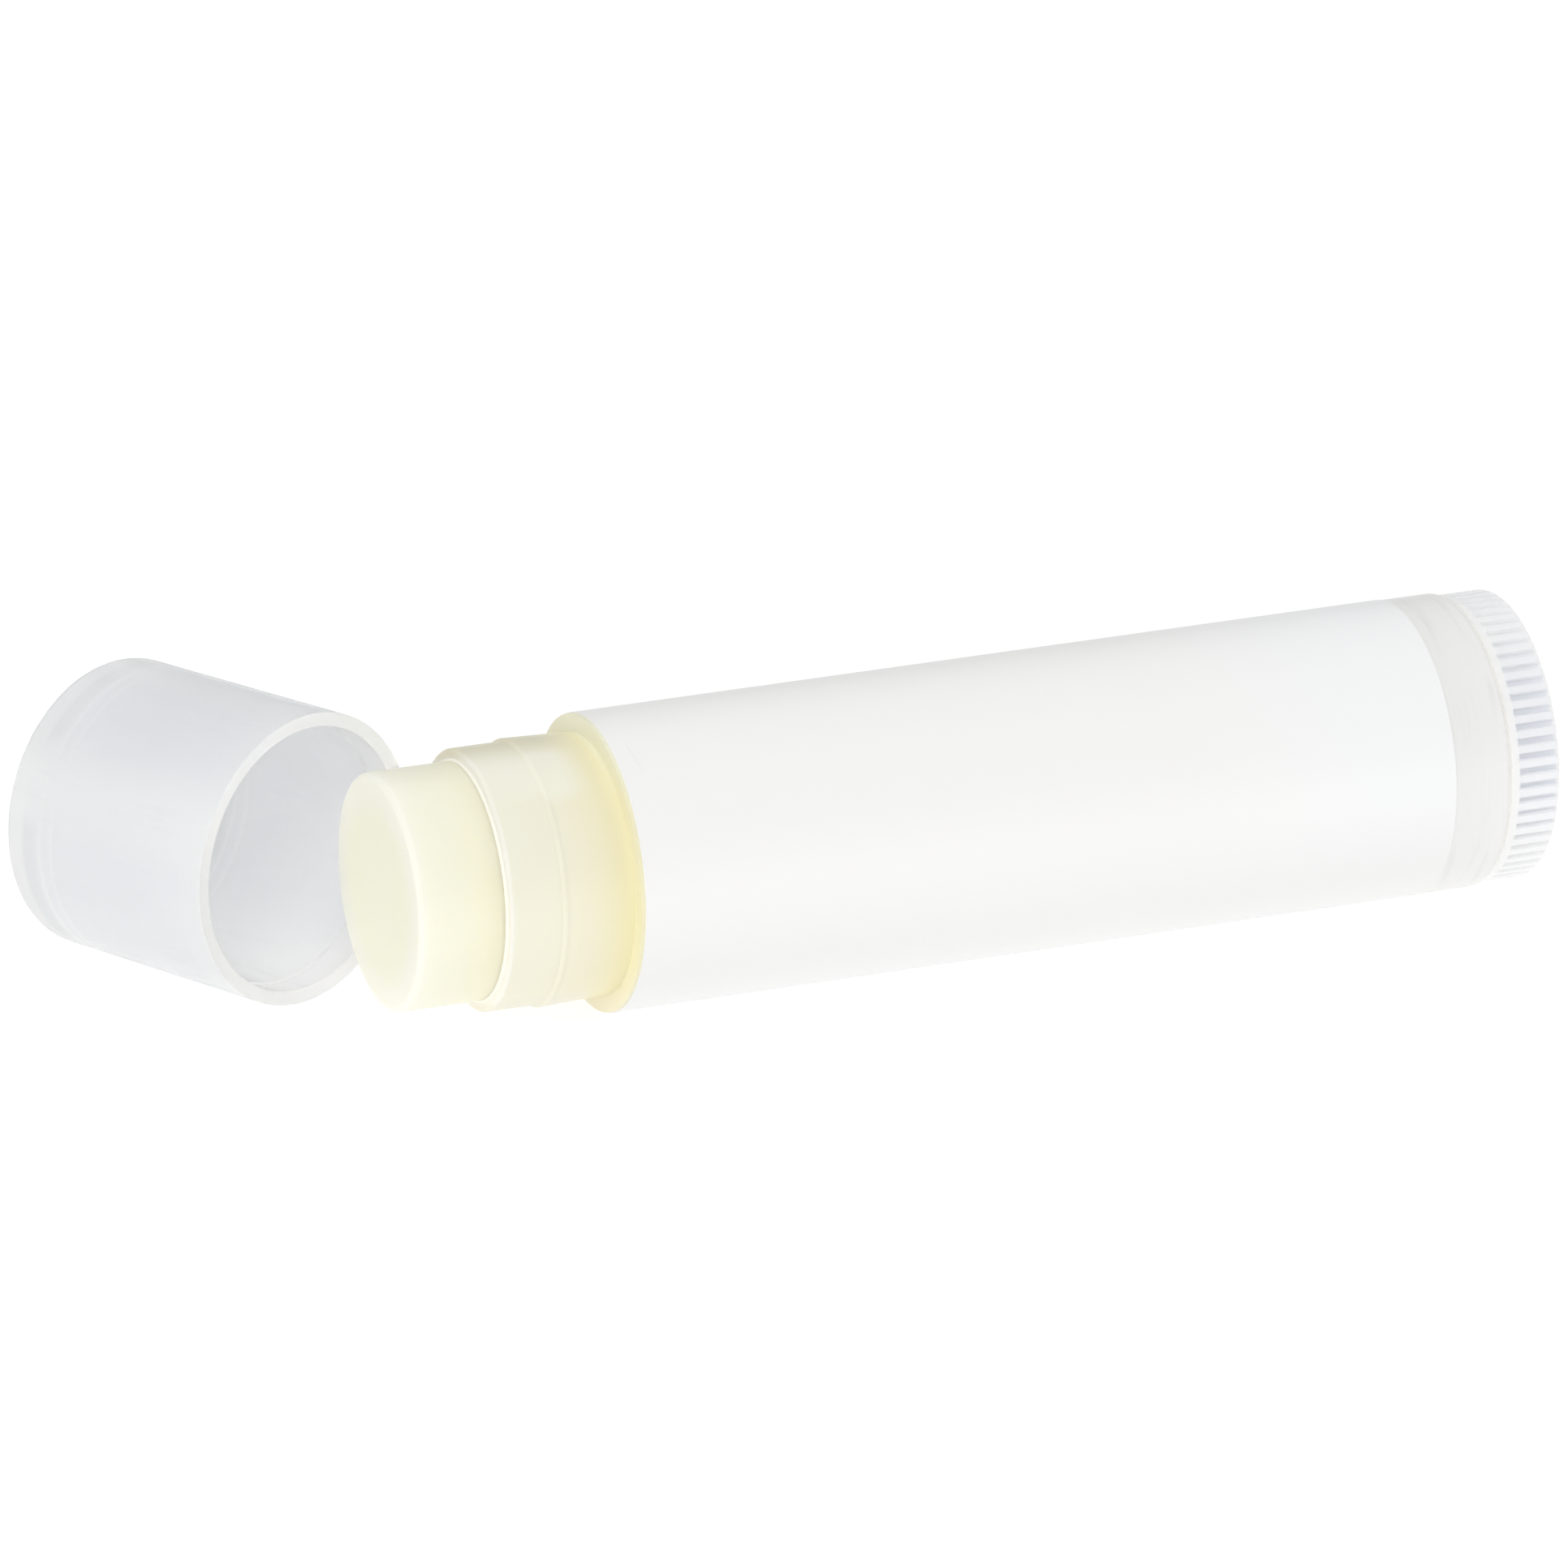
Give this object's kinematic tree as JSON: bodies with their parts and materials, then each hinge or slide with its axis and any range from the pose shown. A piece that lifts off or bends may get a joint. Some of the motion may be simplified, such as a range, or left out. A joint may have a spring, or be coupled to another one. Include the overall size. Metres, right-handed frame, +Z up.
{
  "type": "lip balm stick",
  "caption": "Twist-up lip balm stick in a round translucent tube with a plain white label and a ribbed dial, balm wound out a little, its cap drawn off and lying beside the tip.",
  "frame": {"origin": "on the stick's axis at the front edge of the label, where the full diameter begins; the table it lies on is at z = -8 mm", "axes": "+X along the stick towards the dial, +Z up from the table it lies on, +Y to the side on which the cap lies"},
  "size_m": [0.0794, 0.031, 0.016],
  "materials": {
    "natural_pp": "translucent natural polypropylene, satin",
    "cap_pp": "translucent natural polypropylene, satin, slightly scuffed",
    "label_film": "plain white satin film",
    "balm_wax": "smooth cast cream wax, waxy sheen"
  },
  "bodies": {
    "barrel": {"barrel": "natural_pp", "label": "label_film"},
    "dial": {"dial_screw": "natural_pp"},
    "carrier": {"carrier": "natural_pp", "balm": "balm_wax"},
    "cap": {"cap": "cap_pp"}
  },
  "joints": [
    {"name": "dial_turn", "type": "hinge", "parent": "barrel", "child": "dial", "pos_m": [0, 0, 0], "axis": [1, 0, 0], "range_deg": [-582, 4458]},
    {"name": "carrier_slide", "type": "slide", "parent": "barrel", "child": "carrier", "axis": [-1, 0, 0], "range_m": [-0.00485, 0.006]},
    {"name": "cap_slide", "type": "slide", "parent": "barrel", "child": "cap", "axis": [-0.4352, 0.9003, 0], "range_m": [0, 0.02]}
  ],
  "couplings": [
    {"joint": "dial_turn", "follows": "carrier_slide", "rad_per_m": 2094.4}
  ]
}
